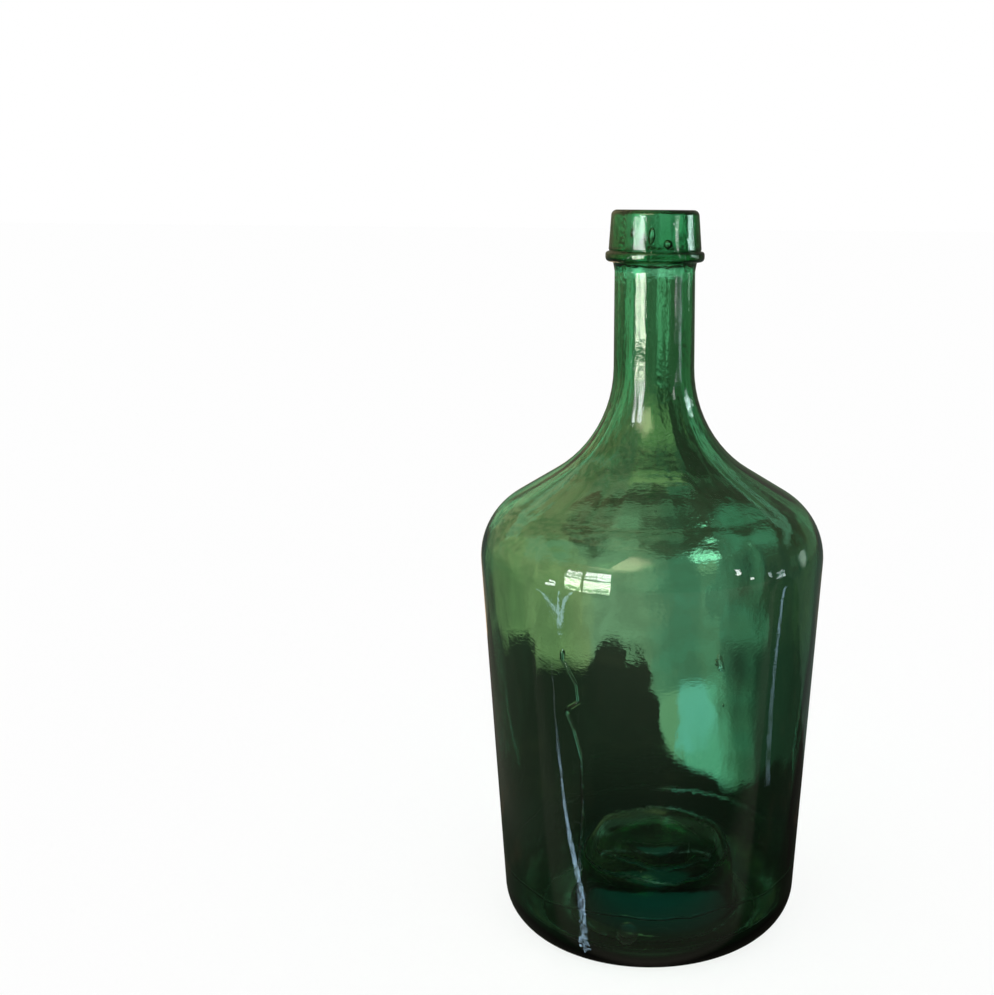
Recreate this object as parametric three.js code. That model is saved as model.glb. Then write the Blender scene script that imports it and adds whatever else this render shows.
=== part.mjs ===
// A five-litre demijohn of green glass, blown in a mould, uncorked.
// Millimetres, +Z up. The origin is the centre of the circle that the bottle stands on.
//
// The vessel is the first gather of glass: base with its push-up, tapered body, shoulder and
// neck in one wall. The lip collar and the string ring are two later gathers, laid hot round
// the end of the neck. All three are turned about one axis, and meet face to face.
import * as THREE from "three";

// Overall sizes
const TOTAL_HEIGHT = 390;
const BODY_DIAMETER = 186.4; // where the lines of wall and shoulder meet, before rounding
const BASE_DIAMETER = 160.2; // where the line of the wall meets the table

// Shoulder and neck
const SHOULDER_RISE = 44; // from the corner of the body up to the foot of the neck
const SHOULDER_RADIUS = 36.6;
const NECK_LENGTH = 91; // from its foot up to the underside of the string ring
const NECK_FOOT_DIAMETER = 43;
const NECK_TOP_DIAMETER = 41.4;
const NECK_FOOT_RADIUS = 65.7; // of the hollow curve between neck and shoulder

// Base
const HEEL_RADIUS = 21.6;
const PUSH_UP_DIAMETER = 84; // of the dome under the base, at the table
const PUSH_UP_HEIGHT = 44;
const PUSH_UP_CROWN_DIAMETER = 72; // where the line of its flank meets the height of its top
const PUSH_UP_CROWN_RADIUS = 24;
const BEARING_EDGE_RADIUS = 5; // from the flank to the flat ring that the bottle stands on

// Glass
const BORE_DIAMETER = 31;
const SHOULDER_WALL = 4;
const BODY_WALL_TOP = 3.2;
const BODY_WALL_FOOT = 4.2;
const BASE_WALL = 6;
const PUSH_UP_WALL = 6;
const INNER_HEEL_RADIUS = 17.4;
const INNER_TROUGH_RADIUS = 6; // between the floor and the flank of the push-up

// Lip collar
const COLLAR_HEIGHT = 20.9;
const COLLAR_LAP = 3; // of its glass over the end of the neck
const COLLAR_TOP_THICKNESS = 1.8; // on the neck, at the collar's top
const COLLAR_FOOT_THICKNESS = 3.2;
const LIP_OUTER_RADIUS = 3;
const LIP_INNER_RADIUS = 2;

// String ring
const RING_HEIGHT = 5.6;
const RING_THICKNESS = 4.8; // on the neck, at the fullest part of the bead
const RING_EDGE_RADIUS = 2.5;
const CREASE_DEPTH = 0.8; // of the fold between collar and ring
const SKIRT_HEIGHT = 4.6; // of the ring's glass that has run down the neck
const SKIRT_TOP_THICKNESS = 0.9;
const SKIRT_FOOT_THICKNESS = 0.4;
const SKIRT_FILLET_RADIUS = 0.8;

// Facets
const SEGMENTS = 60; // round the axis
const LARGE_ARC_STEP = THREE.MathUtils.degToRad(10);
const SMALL_ARC_STEP = THREE.MathUtils.degToRad(22.5);

const point = (r, z) => new THREE.Vector2(r, z);

// Heights, from the table up to the mouth
const ringTopZ = TOTAL_HEIGHT - COLLAR_HEIGHT;
const ringFootZ = ringTopZ - RING_HEIGHT;
const skirtFootZ = ringFootZ - SKIRT_HEIGHT;
const neckFootZ = ringFootZ - NECK_LENGTH;
const bodyTopZ = neckFootZ - SHOULDER_RISE;
const neckEndZ = TOTAL_HEIGHT - COLLAR_LAP;

// Corners of the vessel's outside, where its straight runs meet before they are rounded
const axisTop = point(0, PUSH_UP_HEIGHT);
const crown = point(PUSH_UP_CROWN_DIAMETER / 2, PUSH_UP_HEIGHT);
const bearingEdge = point(PUSH_UP_DIAMETER / 2, 0);
const heel = point(BASE_DIAMETER / 2, 0);
const bodyTop = point(BODY_DIAMETER / 2, bodyTopZ);
const neckFoot = point(NECK_FOOT_DIAMETER / 2, neckFootZ);
const neckEnd = point(NECK_TOP_DIAMETER / 2, neckEndZ);
const boreRadius = BORE_DIAMETER / 2;

// The neck tapers, so whatever is laid on it takes its radius from here.
function neckRadiusAt(z) {
  return THREE.MathUtils.mapLinear(z, neckFoot.y, neckEnd.y, neckFoot.x, neckEnd.x);
}

// Where two runs meet, each given by two of its points.
function meet([a, b], [c, d]) {
  const along = b.clone().sub(a);
  const across = d.clone().sub(c);
  const share = c.clone().sub(a).cross(across) / along.cross(across);
  return along.multiplyScalar(share).add(a);
}

// A run of the outside, from a to b, moved into the glass by the wall's thickness at each end.
function movedIn(a, b, wallAtA, wallAtB = wallAtA) {
  const along = b.clone().sub(a).normalize();
  const inwards = point(-along.y, along.x);
  return [
    inwards.clone().multiplyScalar(wallAtA).add(a),
    inwards.clone().multiplyScalar(wallAtB).add(b),
  ];
}

// A corner of a profile, the radius that rounds it and the step of that arc.
const corner = (place, radius = 0, step = LARGE_ARC_STEP) => ({ place, radius, step });

// Half the angle that a profile has inside the corner between its two neighbours.
function halfAngle(before, place, after) {
  const back = before.clone().sub(place);
  const on = after.clone().sub(place);
  return Math.abs(back.angleTo(on)) / 2;
}

// The points of one rounded corner.
function arcPoints(before, { place, radius, step }, after) {
  const back = before.clone().sub(place).normalize();
  const on = after.clone().sub(place).normalize();
  const half = halfAngle(before, place, after);
  const start = back.clone().multiplyScalar(radius / Math.tan(half)).add(place);
  const towardsCentre = back.clone().add(on).normalize();
  const centre = towardsCentre.multiplyScalar(radius / Math.sin(half)).add(place);
  const turn = (Math.PI - 2 * half) * Math.sign(on.cross(back));
  const steps = Math.ceil(Math.abs(turn) / step);
  return Array.from({ length: steps + 1 }, (_, i) =>
    start.clone().rotateAround(centre, (turn * i) / steps),
  );
}

// A profile drawn through corners. Where two arcs need more than the run between them,
// both are made smaller until they share it.
function profile(corners) {
  const places = corners.map((c) => c.place);
  const inner = (i) => i > 0 && i < corners.length - 1;
  const taken = corners.map((c, i) =>
    inner(i) ? c.radius / Math.tan(halfAngle(places[i - 1], c.place, places[i + 1])) : 0,
  );
  const fit = (i, j) => Math.min(1, places[i].distanceTo(places[j]) / (taken[i] + taken[j]));
  return corners.flatMap((c, i) => {
    if (!inner(i) || c.radius === 0) return [c.place];
    const radius = c.radius * Math.min(fit(i - 1, i), fit(i, i + 1));
    return arcPoints(places[i - 1], { ...c, radius }, places[i + 1]);
  });
}

// From the middle of the push-up out to the heel, and up to the end of the neck.
function vesselOutside() {
  return profile([
    corner(axisTop),
    corner(crown, PUSH_UP_CROWN_RADIUS),
    corner(bearingEdge, BEARING_EDGE_RADIUS),
    corner(heel, HEEL_RADIUS),
    corner(bodyTop, SHOULDER_RADIUS),
    corner(neckFoot, NECK_FOOT_RADIUS),
    corner(neckEnd),
  ]);
}

// From the mouth down to the middle of the floor: the outside's runs, moved in by the wall.
function vesselInside() {
  const bore = [point(boreRadius, neckFootZ), point(boreRadius, neckEndZ)];
  const shoulder = movedIn(bodyTop, neckFoot, SHOULDER_WALL);
  const body = movedIn(heel, bodyTop, BODY_WALL_FOOT, BODY_WALL_TOP);
  const floor = movedIn(bearingEdge, heel, BASE_WALL);
  const flank = movedIn(crown, bearingEdge, PUSH_UP_WALL);
  const top = movedIn(axisTop, crown, PUSH_UP_WALL);
  return profile([
    corner(bore[1]),
    corner(meet(bore, shoulder), NECK_FOOT_RADIUS + SHOULDER_WALL),
    corner(meet(shoulder, body), SHOULDER_RADIUS - SHOULDER_WALL),
    corner(meet(body, floor), INNER_HEEL_RADIUS),
    corner(meet(floor, flank), INNER_TROUGH_RADIUS),
    corner(meet(flank, top), PUSH_UP_CROWN_RADIUS + PUSH_UP_WALL),
    corner(top[0]),
  ]);
}

// The collar's section: the lip over the end of the neck, and the seat down its outside.
function collarSection() {
  const topRadius = neckEnd.x + COLLAR_TOP_THICKNESS;
  const footRadius = neckRadiusAt(ringTopZ) + COLLAR_FOOT_THICKNESS;
  const shown = profile([
    corner(point(boreRadius, neckEndZ)),
    corner(point(boreRadius, TOTAL_HEIGHT), LIP_INNER_RADIUS, SMALL_ARC_STEP),
    corner(point(topRadius, TOTAL_HEIGHT), LIP_OUTER_RADIUS, SMALL_ARC_STEP),
    corner(point(footRadius, ringTopZ)),
  ]);
  const seat = [point(neckRadiusAt(ringTopZ), ringTopZ), neckEnd];
  return [...shown, ...seat, shown[0]].reverse();
}

// The ring's section: a bead under the collar, the skirt below it, and the seat on the neck.
function ringSection() {
  const creaseRadius = neckRadiusAt(ringTopZ) + COLLAR_FOOT_THICKNESS - CREASE_DEPTH;
  const beadRadius = neckRadiusAt(ringFootZ) + RING_THICKNESS;
  const skirtTopRadius = neckRadiusAt(ringFootZ) + SKIRT_TOP_THICKNESS;
  const skirtFootRadius = neckRadiusAt(skirtFootZ) + SKIRT_FOOT_THICKNESS;
  const shown = profile([
    corner(point(creaseRadius, ringTopZ)),
    corner(point(beadRadius, ringTopZ), RING_EDGE_RADIUS, SMALL_ARC_STEP),
    corner(point(beadRadius, ringFootZ), RING_EDGE_RADIUS, SMALL_ARC_STEP),
    corner(point(skirtTopRadius, ringFootZ), SKIRT_FILLET_RADIUS, SMALL_ARC_STEP),
    corner(point(skirtFootRadius, skirtFootZ)),
  ]);
  const seat = [
    point(neckRadiusAt(skirtFootZ), skirtFootZ),
    point(neckRadiusAt(ringTopZ), ringTopZ),
  ];
  return [...shown, ...seat, shown[0]].reverse();
}

const greenGlass = {
  color: 0x2c6b47,
  roughness: 0.06,
  metalness: 0,
  transparent: true,
  opacity: 0.6,
};

// Turns a section about the axis into a named piece of glass. A lathe turns about Y,
// so the piece is stood up on Z.
function turned(name, section) {
  const geometry = new THREE.LatheGeometry(section, SEGMENTS);
  const piece = new THREE.Mesh(geometry, new THREE.MeshStandardMaterial(greenGlass));
  piece.name = name;
  piece.rotation.x = Math.PI / 2;
  return piece;
}

const demijohn = new THREE.Group();
demijohn.add(
  turned("vessel", [...vesselOutside(), ...vesselInside()]),
  turned("lip_collar", collarSection()),
  turned("string_ring", ringSection()),
);

export default demijohn;
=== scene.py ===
# %% [markdown]
# # A five-litre demijohn of green glass
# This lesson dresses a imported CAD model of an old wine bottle. The CAD model is the frame: it
# says how tall and wide each gather of glass is. Blender adds what only looks can show: one
# unbroken skin of glass, a wall that wanders, bubbles, and a colour that deepens with thickness.
# Everything is in metres, +Z is up, and the bottle stands on the origin.

import math
import random

import bmesh
import bpy
import numpy as np
from mathutils import Matrix, Vector


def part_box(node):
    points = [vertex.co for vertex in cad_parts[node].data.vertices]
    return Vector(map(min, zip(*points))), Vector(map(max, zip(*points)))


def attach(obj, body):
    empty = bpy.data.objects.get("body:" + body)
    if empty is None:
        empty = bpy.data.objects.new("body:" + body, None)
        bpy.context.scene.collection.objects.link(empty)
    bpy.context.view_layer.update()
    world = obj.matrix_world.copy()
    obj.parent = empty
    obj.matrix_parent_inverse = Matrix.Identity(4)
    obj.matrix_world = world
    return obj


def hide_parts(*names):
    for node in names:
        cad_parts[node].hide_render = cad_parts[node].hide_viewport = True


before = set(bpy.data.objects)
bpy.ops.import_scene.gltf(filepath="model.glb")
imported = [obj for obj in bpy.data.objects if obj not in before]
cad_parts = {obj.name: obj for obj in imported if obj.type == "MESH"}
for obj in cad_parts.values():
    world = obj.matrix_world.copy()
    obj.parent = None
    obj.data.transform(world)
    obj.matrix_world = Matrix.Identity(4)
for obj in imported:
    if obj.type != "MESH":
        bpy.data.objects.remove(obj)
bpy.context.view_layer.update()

# %% [markdown]
# ## Camera
# A camera is matched to a photograph before anything is modelled, so that each later step can be
# judged in the same frame. The bottle was seen from about 70 cm away, from the height of its
# mouth and looking down a little, and it stands right of the middle of the picture. A lens shift
# puts it there without turning the camera away from it.

# %% Place the camera
MM = 0.001
PICTURE_WIDTH = 995  # of the square that the lens was measured in, in pixels
FOCAL_LENGTH = 1333.78  # in the same pixels
CAMERA_HEIGHT = 389.26 * MM
CAMERA_DISTANCE = 700.35 * MM
CAMERA_PITCH = 0.2114  # radians below level
CAMERA_ROLL = 0.0095
BOTTLE_AXIS_PIXEL = 652.74  # across the picture
MIDDLE_PIXEL = 497
SENSOR_WIDTH = 36  # mm

camera_data = bpy.data.cameras.new("camera")
camera_data.sensor_width = SENSOR_WIDTH
camera_data.lens = FOCAL_LENGTH / PICTURE_WIDTH * camera_data.sensor_width
camera_data.shift_x = -(BOTTLE_AXIS_PIXEL - MIDDLE_PIXEL) / PICTURE_WIDTH
camera = bpy.data.objects.new("camera", camera_data)
bpy.context.scene.collection.objects.link(camera)
camera.matrix_world = (
    Matrix.Translation((0, -CAMERA_DISTANCE, CAMERA_HEIGHT))
    @ Matrix.Rotation(math.pi / 2 - CAMERA_PITCH, 4, "X")
    @ Matrix.Rotation(CAMERA_ROLL, 4, "Z")
)
bpy.context.scene.camera = camera
bpy.context.scene.view_settings.view_transform = "Standard"
print("lens", round(camera_data.lens, 2), "mm, shift", round(camera_data.shift_x, 4))

# %% [markdown]
# ## Shader maths in plain signs
# A pattern is arithmetic: this noise times that mask, plus a little more at the rim. Wiring it
# node by node hides the thought, so one small class lets Python's own signs add the Math nodes.

# %% A socket that can be added, multiplied and compared
class Field:
    """A number that changes over a surface or a direction."""

    def __init__(self, graph, socket):
        self.graph = graph
        self.socket = socket

    def maths(self, operation, *values):
        return self.graph.node("Math", {"operation": operation}, values)

    def __add__(self, other):
        return self.maths("ADD", self, other)

    def __sub__(self, other):
        return self.maths("SUBTRACT", self, other)

    def __rsub__(self, other):
        return self.maths("SUBTRACT", other, self)

    def __mul__(self, other):
        return self.maths("MULTIPLY", self, other)

    def __truediv__(self, other):
        return self.maths("DIVIDE", self, other)

    def __rtruediv__(self, other):
        return self.maths("DIVIDE", other, self)

    def larger(self, other):
        return self.maths("MAXIMUM", self, other)

    def smaller(self, other):
        return self.maths("MINIMUM", self, other)

    def root(self):
        return self.maths("SQRT", self)

    def size(self):
        return self.maths("ABSOLUTE", self)

    def step(self, low, high):
        """0 below low, 1 above high, and a smooth rise between them. It falls where low is above high."""
        rising = low < high
        ends = {"From Min": min(low, high), "From Max": max(low, high)}
        ends.update({"To Min": 0.0 if rising else 1.0, "To Max": 1.0 if rising else 0.0})
        return self.graph.node("MapRange", {"interpolation_type": "SMOOTHSTEP"}, {"Value": self, **ends})

    __radd__ = __add__
    __rmul__ = __mul__


# %% A node tree that builds itself from such sums
def draw_through(mapping, points):
    """Bends the line of a curve node through points, in straight runs, level beyond its ends."""
    mapping.extend = "HORIZONTAL"
    line_points = mapping.curves[0].points
    for x, y in points[1:-1]:
        line_points.new(x, y)
    for end, place in ((line_points[0], points[0]), (line_points[-1], points[-1])):
        end.location = place
    for point in line_points:
        point.handle_type = "VECTOR"
    mapping.update()


class Graph:
    """The node tree of a material or of the world."""

    def __init__(self, owner):
        owner.use_nodes = True
        self.tree = owner.node_tree
        self.tree.nodes.clear()

    def node(self, kind, settings=None, values=(), output=0):
        """Adds a node, sets its settings, or its curve's points, then feeds its sockets by place or name."""
        node = self.tree.nodes.new("ShaderNode" + kind)
        for name, value in (settings or {}).items():
            if name == "points":
                draw_through(node.mapping, value)
            else:
                setattr(node, name, value)
        pairs = values.items() if isinstance(values, dict) else enumerate(values)
        for key, value in pairs:
            if isinstance(value, Field):
                self.tree.links.new(value.socket, node.inputs[key])
            else:
                node.inputs[key].default_value = value
        return Field(self, node.outputs[output]) if node.outputs else None

    def axes(self, where):
        """The three numbers of a place or a direction."""
        split = self.node("SeparateXYZ", values=[where]).socket.node
        return [Field(self, socket) for socket in split.outputs]

    def noise(self, where, scale, detail=2.0, stretch=(1, 1, 1)):
        """Soft clouds between 0 and 1, scale to the metre, stretched along an axis below 1."""
        placed = self.node("Mapping", values={"Vector": where, "Scale": stretch})
        return self.node("TexNoise", values={"Vector": placed, "Scale": scale, "Detail": detail})


# %% [markdown]
# ## The outline of the glass
# A blown bottle is round, so its shape is half a section turned about the upright axis. The
# section is drawn as on paper: straight runs that meet in corners, each corner rounded by an arc.
# The neck, collar and ring are one fused skin here. Three separate solids of glass that touch
# would show a silver film of trapped air between them, which fused glass doesn't have.

# %% Sizes of the section, in millimetres
collar_foot, collar_top = (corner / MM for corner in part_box("lip_collar"))
ring_foot, ring_top = (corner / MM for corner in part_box("string_ring"))
BODY_TOP = (93.2, 228.5)  # where the lines of wall and shoulder meet, before rounding
NECK_FOOT = (21.5, 272.5)
HEEL = (80.1, 0.0)
PUSH_UP_EDGE = (42.0, 0.0)
PUSH_UP_CROWN = (36.0, 44.0)
PUSH_UP_TOP = (0.0, 44.0)
NECK_END = (20.7, 387.0)
BORE_RADIUS = 15.5
SHOULDER_WALL = 4.0
BODY_WALL_TOP = 3.2
BODY_WALL_FOOT = 4.2
BASE_WALL = 6.0
SHOULDER_RADIUS = 36.6
NECK_FOOT_RADIUS = 65.7
HEEL_RADIUS = 21.6
CROWN_RADIUS = 24.0
INNER_CROWN_RADIUS = 17.0  # the glass is thicker round the crown
BEARING_EDGE_RADIUS = 5.0
INNER_HEEL_RADIUS = 17.4
INNER_TROUGH_RADIUS = 6.0
print("collar from", round(collar_foot.z, 1), "to", round(collar_top.z, 1), "mm")

# %% Sizes of the lip, collar and ring, in millimetres
RING_HEIGHT = 5.6
BEAD_RADIUS = 2.4
BEAD_TAPER = 0.4  # how much the bead's under side rises outwards
SKIRT_SPREAD = 0.9  # how far the skirt stands off the neck where it meets the bead
SKIRT_FOOT_RADIUS = 3.0
SKIRT_TOP_RADIUS = 0.8
FOLD_SPREAD = 2.6  # how far the fold between bead and collar stands off the neck
FOLD_HEIGHT = 0.9
FOLD_RADIUS = 0.5
COLLAR_FOOT_RADIUS = 0.6
LIP_SPREAD = 1.8  # how far the lip's outer edge stands off the end of the neck
LIP_OUTER_RADIUS = 3.0
LIP_INNER_RADIUS = 2.0
STRAIGHT_BORE = 16.0  # drawn as a run of its own, below the lip
print("bead", RING_HEIGHT, "mm high under a collar of", round(collar_top.z - ring_top.z - FOLD_HEIGHT, 1))


# %% Corners, and the lines between them
def run_inside(start, end, wall_start, wall_end):
    """The run from start to end, moved into the glass by the wall's thickness."""
    start, end = Vector(start), Vector(end)
    along = (end - start).normalized()
    inwards = Vector((-along.y, along.x))
    return start + inwards * wall_start, end + inwards * wall_end


def meeting(first, second):
    """Where two runs cross."""
    along, across = first[1] - first[0], second[1] - second[0]
    share = (second[0] - first[0]).cross(across) / along.cross(across)
    return first[0] + along * share


def neck_radius(height):
    """The neck tapers from its foot to its end."""
    share = (height - NECK_FOOT[1]) / (NECK_END[1] - NECK_FOOT[1])
    return NECK_FOOT[0] + (NECK_END[0] - NECK_FOOT[0]) * share


# %% The outside of the section
def outside_corners():
    """Radius, height and rounding of each corner, from under the push-up to the lip."""
    bead_foot = ring_top.z - RING_HEIGHT
    neck = neck_radius(ring_top.z)
    return [
        (*PUSH_UP_TOP, 0),
        (*PUSH_UP_CROWN, CROWN_RADIUS),
        (*PUSH_UP_EDGE, BEARING_EDGE_RADIUS),
        (*HEEL, HEEL_RADIUS),
        (*BODY_TOP, SHOULDER_RADIUS),
        (*NECK_FOOT, NECK_FOOT_RADIUS),
        (neck_radius(ring_foot.z), ring_foot.z, SKIRT_FOOT_RADIUS),
        (neck + SKIRT_SPREAD, bead_foot, SKIRT_TOP_RADIUS),
        (ring_top.x, bead_foot + BEAD_TAPER, BEAD_RADIUS),
        (ring_top.x, ring_top.z, BEAD_RADIUS),
        (neck + FOLD_SPREAD, ring_top.z, FOLD_RADIUS),
        (collar_top.x, ring_top.z + FOLD_HEIGHT, COLLAR_FOOT_RADIUS),
        (NECK_END[0] + LIP_SPREAD, collar_top.z, LIP_OUTER_RADIUS),
        (BORE_RADIUS, collar_top.z, LIP_INNER_RADIUS),
        (BORE_RADIUS, collar_top.z - STRAIGHT_BORE, 0),
    ]


print(len(outside_corners()), "corners outside")


# %% The inside of the section
def inside_corners():
    """The same, from the bore down to the middle of the floor."""
    bore = (Vector((BORE_RADIUS, NECK_FOOT[1])), Vector((BORE_RADIUS, NECK_END[1])))
    shoulder = run_inside(BODY_TOP, NECK_FOOT, SHOULDER_WALL, SHOULDER_WALL)
    body = run_inside(HEEL, BODY_TOP, BODY_WALL_FOOT, BODY_WALL_TOP)
    floor = run_inside(PUSH_UP_EDGE, HEEL, BASE_WALL, BASE_WALL)
    flank = run_inside(PUSH_UP_CROWN, PUSH_UP_EDGE, BASE_WALL, BASE_WALL)
    top = run_inside(PUSH_UP_TOP, PUSH_UP_CROWN, BASE_WALL, BASE_WALL)
    return [
        (*meeting(bore, shoulder), NECK_FOOT_RADIUS + SHOULDER_WALL),
        (*meeting(shoulder, body), SHOULDER_RADIUS - SHOULDER_WALL),
        (*meeting(body, floor), INNER_HEEL_RADIUS),
        (*meeting(floor, flank), INNER_TROUGH_RADIUS),
        (*meeting(flank, top), INNER_CROWN_RADIUS),
        (*top[0], 0),
    ]


print(len(inside_corners()), "corners inside")

# %% [markdown]
# ### Drawing it with Extrude and Spin
# The pen is one vertex. Extrude pulls a straight run out of it, and Spin swings it round the
# centre of an arc. Long runs are pulled in short steps, so that the wall can be made to wander
# later: a surface can only bend where it has vertices.

# %% The pen
LINE_STEP = 6.0  # mm
ARC_STEP = math.radians(5)
FEWEST_ARC_STEPS = 3
SECTION_PLANE_NORMAL = (0, -1, 0)  # positive angles turn clockwise, seen with +Z up and +X right


def start_pen(name, place):
    """One vertex, ready to be pulled."""
    bpy.ops.object.select_all(action="DESELECT")
    bpy.ops.mesh.primitive_plane_add(size=MM)
    drawing = bpy.context.object
    drawing.name = name
    bpy.ops.object.mode_set(mode="EDIT")
    bpy.ops.mesh.merge(type="CENTER")
    bpy.ops.transform.translate(value=place)
    return drawing


def line(start, end):
    """A straight run in the plane of the section, in short steps."""
    steps = max(1, round((end - start).length / LINE_STEP))
    move = (end - start) / steps * MM
    for _ in range(steps):
        bpy.ops.mesh.extrude_region_move(TRANSFORM_OT_translate={"value": (move.x, 0, move.y)})


def arc(centre, turn):
    """A round run about a centre."""
    bpy.ops.mesh.spin(
        steps=max(FEWEST_ARC_STEPS, math.ceil(abs(turn) / ARC_STEP)),
        angle=turn,
        center=(centre.x * MM, 0, centre.y * MM),
        axis=SECTION_PLANE_NORMAL,
    )


# %% Rounded corners
SHORTEST_RUN = 0.01  # mm


def rounding(before, place, after, radius):
    """Start, end, centre and turn of the arc that rounds a corner."""
    back, on = (before - place).normalized(), (after - place).normalized()
    half = back.angle(on) / 2
    cut = radius / math.tan(half)
    centre = place + (back + on).normalized() * (radius / math.sin(half))
    turn = (math.pi - 2 * half) * math.copysign(1, back.cross(on))
    return place + back * cut, place + on * cut, centre, turn


def shared_radius(places, radii, i):
    """Two arcs that need more than the run between them are made smaller until they share it."""
    def need(j):
        if radii[j] == 0:
            return 0
        return radii[j] / math.tan((places[j - 1] - places[j]).angle(places[j + 1] - places[j]) / 2)

    share = [1.0]
    for j in (i - 1, i + 1):
        share.append((places[i] - places[j]).length / (need(i) + need(j)))
    return radii[i] * min(share)


def draw(corners):
    """Runs and arcs from the first corner to the last."""
    places = [Vector(c[:2]) for c in corners]
    radii = [c[2] for c in corners]
    pen = places[0]
    for i in range(1, len(places)):
        if radii[i] == 0:
            line(pen, places[i])
            pen = places[i]
            continue
        radius = shared_radius(places, radii, i)
        start, end, centre, turn = rounding(places[i - 1], places[i], places[i + 1], radius)
        if (start - pen).length > SHORTEST_RUN:
            line(pen, start)
        arc(centre, turn)
        pen = end


# %% Draw the section and turn it
TURN_STEPS = 232
WELD = 0.02 * MM


def report(piece):
    """Prints how many faces a piece has, whether it is closed, and how much glass it holds."""
    shape = bmesh.new()
    shape.from_mesh(piece.data)
    open_edges = sum(len(edge.link_faces) != 2 for edge in shape.edges)
    print(piece.name, len(piece.data.polygons), "faces,", open_edges, "open edges,",
          round(shape.calc_volume() / MM**3 / 1000, 1), "cubic cm")
    shape.free()


bottle = start_pen("bottle_glass", (PUSH_UP_TOP[0] * MM, 0, PUSH_UP_TOP[1] * MM))
draw(outside_corners() + inside_corners())
bpy.ops.mesh.select_all(action="SELECT")
bpy.ops.mesh.spin(steps=TURN_STEPS, angle=math.tau, center=(0, 0, 0), axis=(0, 0, 1), use_auto_merge=True)
bpy.ops.mesh.select_all(action="SELECT")
bpy.ops.mesh.remove_doubles(threshold=WELD)
bpy.ops.mesh.normals_make_consistent(inside=False)
bpy.ops.object.mode_set(mode="OBJECT")
report(bottle)

# %% [markdown]
# ## A wall that wanders
# Glass is blown from a gather that is never even, so the wall keeps upright waves, called cords,
# and small ripples where it cooled against the mould. They are a few tenths of a millimetre, and
# no eye finds them in the outline. They show in what is seen through the glass: each edge behind
# it turns jagged. So the inner wall is moved, the outer one hardly at all.

# %% Waves that close round the bottle
random.seed(31)


def waves(count, turns, rise):
    """Cosines with whole turns round the axis, so that they meet themselves, that drift with height."""
    return [
        (random.randint(*turns), random.uniform(-rise, rise), random.uniform(0, math.tau))
        for _ in range(count)
    ]


def height_of(wave_set, angle, height):
    """Their sum, about 1 where it is strongest."""
    total = sum(np.cos(turns * angle + rise * height / MM + start) for turns, rise, start in wave_set)
    return total / math.sqrt(len(wave_set))


cords = waves(9, (3, 17), 0.02)  # how many, their turns round the bottle, their drift in radians to the mm
ripples = waves(12, (14, 46), 0.16)
shoulder_ripples = waves(10, (0, 5), 1.1)
print(len(cords), "cords,", len(ripples), "ripples and", len(shoulder_ripples), "more on the shoulder")

# %% Where the wall waves, and how much
CORD_DEPTH = 0.22  # mm
RIPPLE_DEPTH = 0.05
SHOULDER_RIPPLE_DEPTH = 0.035
OUTER_SHARE = 0.12
WAVES_GROW = (18, 60)  # mm above the table
NECK_BEGINS = (250, 290)
NECK_CALM = 0.55  # the share of the waves that the neck has lost
WAVES_END = (372, 386)
SHOULDER_BEGINS = (205, 228)
SHOULDER_ENDS = (262, 285)
BASE_CALM = (62, 70)  # radii between which the base loses its waves
DOME_TOP = PUSH_UP_TOP[1] + BASE_WALL
CLEAR_OF_DOME = DOME_TOP + 6.0
MIDDLE_OF_WALL = [  # height, and radius halfway through the glass
    (0, 70), (14, 76.6), (30, 79.8), (60, 83), (200, 90), (222, 88), (240, 70),
    (250, 54), (260, 40), (272, 29), (290, 20.2), (300, 18.6), (388, 18.2), (400, 18.2),
]


def ramp(values, low, high):
    """0 at low, 1 at high, smooth between them."""
    share = np.clip((values - low * MM) / ((high - low) * MM), 0, 1)
    return share * share * (3 - 2 * share)


def middle_of_wall(heights):
    """The radius halfway through the glass, to tell the inner wall from the outer one."""
    levels, radii = zip(*MIDDLE_OF_WALL)
    return np.interp(heights / MM, levels, radii) * MM


def wall_moves(angle, radius, z):
    """How far each place in the wall moves outwards, in mm."""
    wavy = ramp(z, *WAVES_GROW) * (1 - NECK_CALM * ramp(z, *NECK_BEGINS)) * (1 - ramp(z, *WAVES_END))
    wavy = wavy * np.where(z > CLEAR_OF_DOME * MM, 1.0, ramp(radius, *BASE_CALM))
    on_shoulder = ramp(z, *SHOULDER_BEGINS) * (1 - ramp(z, *SHOULDER_ENDS))
    move = CORD_DEPTH * height_of(cords, angle, z) + RIPPLE_DEPTH * height_of(ripples, angle, z)
    move = move + SHOULDER_RIPPLE_DEPTH * on_shoulder * height_of(shoulder_ripples, angle, z)
    return move * wavy * np.where(radius < middle_of_wall(z), 1.0, OUTER_SHARE)


# %% [markdown]
# ## A push-up made by hand
# The push-up was pressed in with a rod while the glass was soft, so it stands a little off the
# axis, and its flat top sagged. Spin can only make what is round, so both are moves of the mesh
# that it made, in the same pass as the waves.

# %% Move the walls and the push-up
PUSH_UP_DRIFT = 4.0  # mm to the right
PUSH_UP_CURVE = 160.0  # radius to which its flat top sags
DRIFT_FADES = (44, 62)  # radii between which the drift dies away
SAG_FADES = (38, 52)


def push_up_moves(radius, z):
    """How far the push-up drifts to the right and sags, in metres."""
    drift = PUSH_UP_DRIFT * MM * (1 - ramp(radius, *DRIFT_FADES)) * (1 - ramp(z, DOME_TOP, CLEAR_OF_DOME))
    in_dome = (radius < SAG_FADES[1] * MM) & (z < CLEAR_OF_DOME * MM)
    sag = radius**2 / (2 * PUSH_UP_CURVE * MM) * z / (DOME_TOP * MM)
    return drift, np.where(in_dome, sag, 0) * (1 - ramp(radius, *SAG_FADES))


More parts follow.
